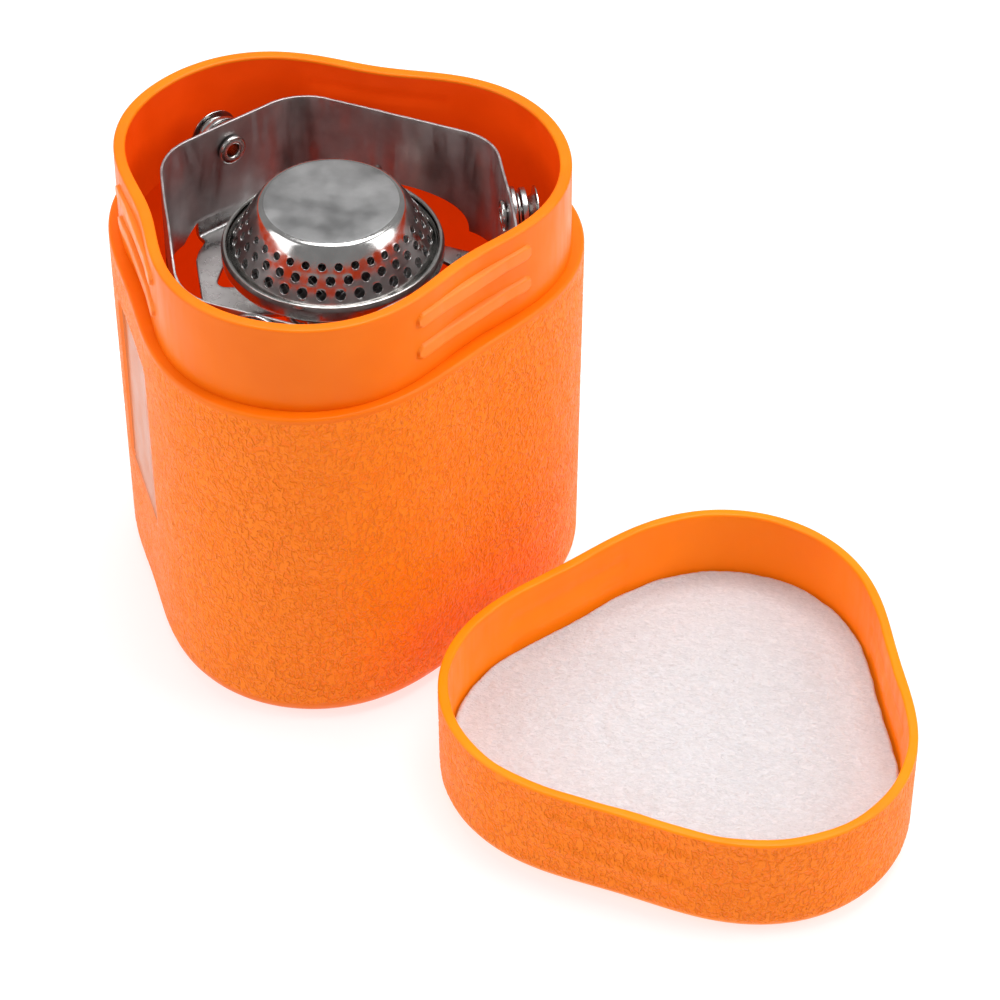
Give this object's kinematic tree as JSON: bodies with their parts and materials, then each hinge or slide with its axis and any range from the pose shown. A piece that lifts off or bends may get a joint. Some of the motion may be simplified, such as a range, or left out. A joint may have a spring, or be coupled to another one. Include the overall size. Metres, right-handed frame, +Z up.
{
  "type": "camping stove",
  "caption": "Small folding gas burner with a windshield, stored upright in a three-lobed plastic case, with its lid and foam pad lying beside it.",
  "frame": {"origin": "centre of the case's flat base, on the surface it stands on", "axes": "+Z up, one lobe of the case towards -Y, the lid towards +X and -Y"},
  "size_m": [0.1889, 0.1361, 0.1055],
  "materials": {
    "orange_plastic": "satin neck and lip, leather grain on the outside",
    "foam": "fibrous closed-cell foam",
    "bright_steel": "bright rolled stainless steel",
    "matt_steel": "matt stamped stainless steel",
    "brass": "machined",
    "aluminium": "knurled and anodised",
    "rubber": "smooth",
    "black_plastic": "moulded",
    "red_plastic": "moulded",
    "ceramic": "glazed ceramic"
  },
  "bodies": {
    "case": {"case_body": "orange_plastic"},
    "lid": {"lid_shell": "orange_plastic"},
    "pad": {"foam_pad": "foam"},
    "spindle": {"valve_spindle": "bright_steel", "spindle_seal": "rubber"},
    "handle": {"wire_handle": "bright_steel"},
    "arm_1": {"pot_arm_1": "matt_steel"},
    "arm_2": {"pot_arm_2": "matt_steel"},
    "arm_3": {"pot_arm_3": "matt_steel"},
    "button": {"igniter_button": "red_plastic"},
    "stove": {"hub_nut": "bright_steel", "burner_rim": "bright_steel", "burner_cap": "bright_steel", "windshield": "bright_steel", "arm_rivet_1": "bright_steel", "arm_rivet_2": "bright_steel", "arm_rivet_3": "bright_steel", "spring_washer_1": "bright_steel", "spring_washer_2": "bright_steel", "spring_washer_3": "bright_steel", "cup_washer_1": "bright_steel", "cup_washer_2": "bright_steel", "cup_washer_3": "bright_steel", "igniter_screw": "bright_steel", "electrode_clip": "bright_steel", "electrode": "bright_steel", "mixer_tube": "matt_steel", "burner_bowl": "matt_steel", "flame_screen": "matt_steel", "spider_bracket": "matt_steel", "valve_body": "brass", "spindle_gland": "brass", "gas_jet": "brass", "valve_pin": "brass", "canister_collar": "aluminium", "socket_seal": "rubber", "igniter_lead": "rubber", "igniter_body": "black_plastic", "electrode_insulator": "ceramic"}
  },
  "joints": [
    {"name": "lid_lift", "type": "slide", "parent": "case", "child": "lid", "axis": [0, 0, 1], "range_m": [0, 0.12]},
    {"name": "pad_lift", "type": "slide", "parent": "lid", "child": "pad", "axis": [0, 0, 1], "range_m": [0, 0.05]},
    {"name": "stove_lift", "type": "slide", "parent": "case", "child": "stove", "axis": [0, 0, 1], "range_m": [0, 0.13]},
    {"name": "arm_flip_1", "type": "hinge", "parent": "stove", "child": "arm_1", "pos_m": [0.03786, 0.01433, 0.0922], "axis": [0.9272, 0.3746, 0], "range_deg": [0, 180]},
    {"name": "arm_flip_2", "type": "hinge", "parent": "stove", "child": "arm_2", "pos_m": [-0.03144, 0.02407, 0.0922], "axis": [-0.788, 0.6157, 0], "range_deg": [0, 180]},
    {"name": "arm_flip_3", "type": "hinge", "parent": "stove", "child": "arm_3", "pos_m": [-0.00522, -0.04081, 0.0922], "axis": [-0.1392, -0.9903, 0], "range_deg": [0, 180]},
    {"name": "spindle_turn", "type": "hinge", "parent": "stove", "child": "spindle", "pos_m": [-0.00238, -0.0206, 0.038], "axis": [-0.1392, -0.9903, 0], "range_deg": [0, 540]},
    {"name": "handle_fold", "type": "hinge", "parent": "spindle", "child": "handle", "pos_m": [-0.00315, -0.02605, 0.038], "axis": [-0.9903, 0.1392, 0], "range_deg": [0, 180]},
    {"name": "igniter_press", "type": "slide", "parent": "stove", "child": "button", "axis": [0, 0, 1], "range_m": [0, 0.004], "stiffness_N_per_m": 400, "springref_m": -0.002}
  ]
}
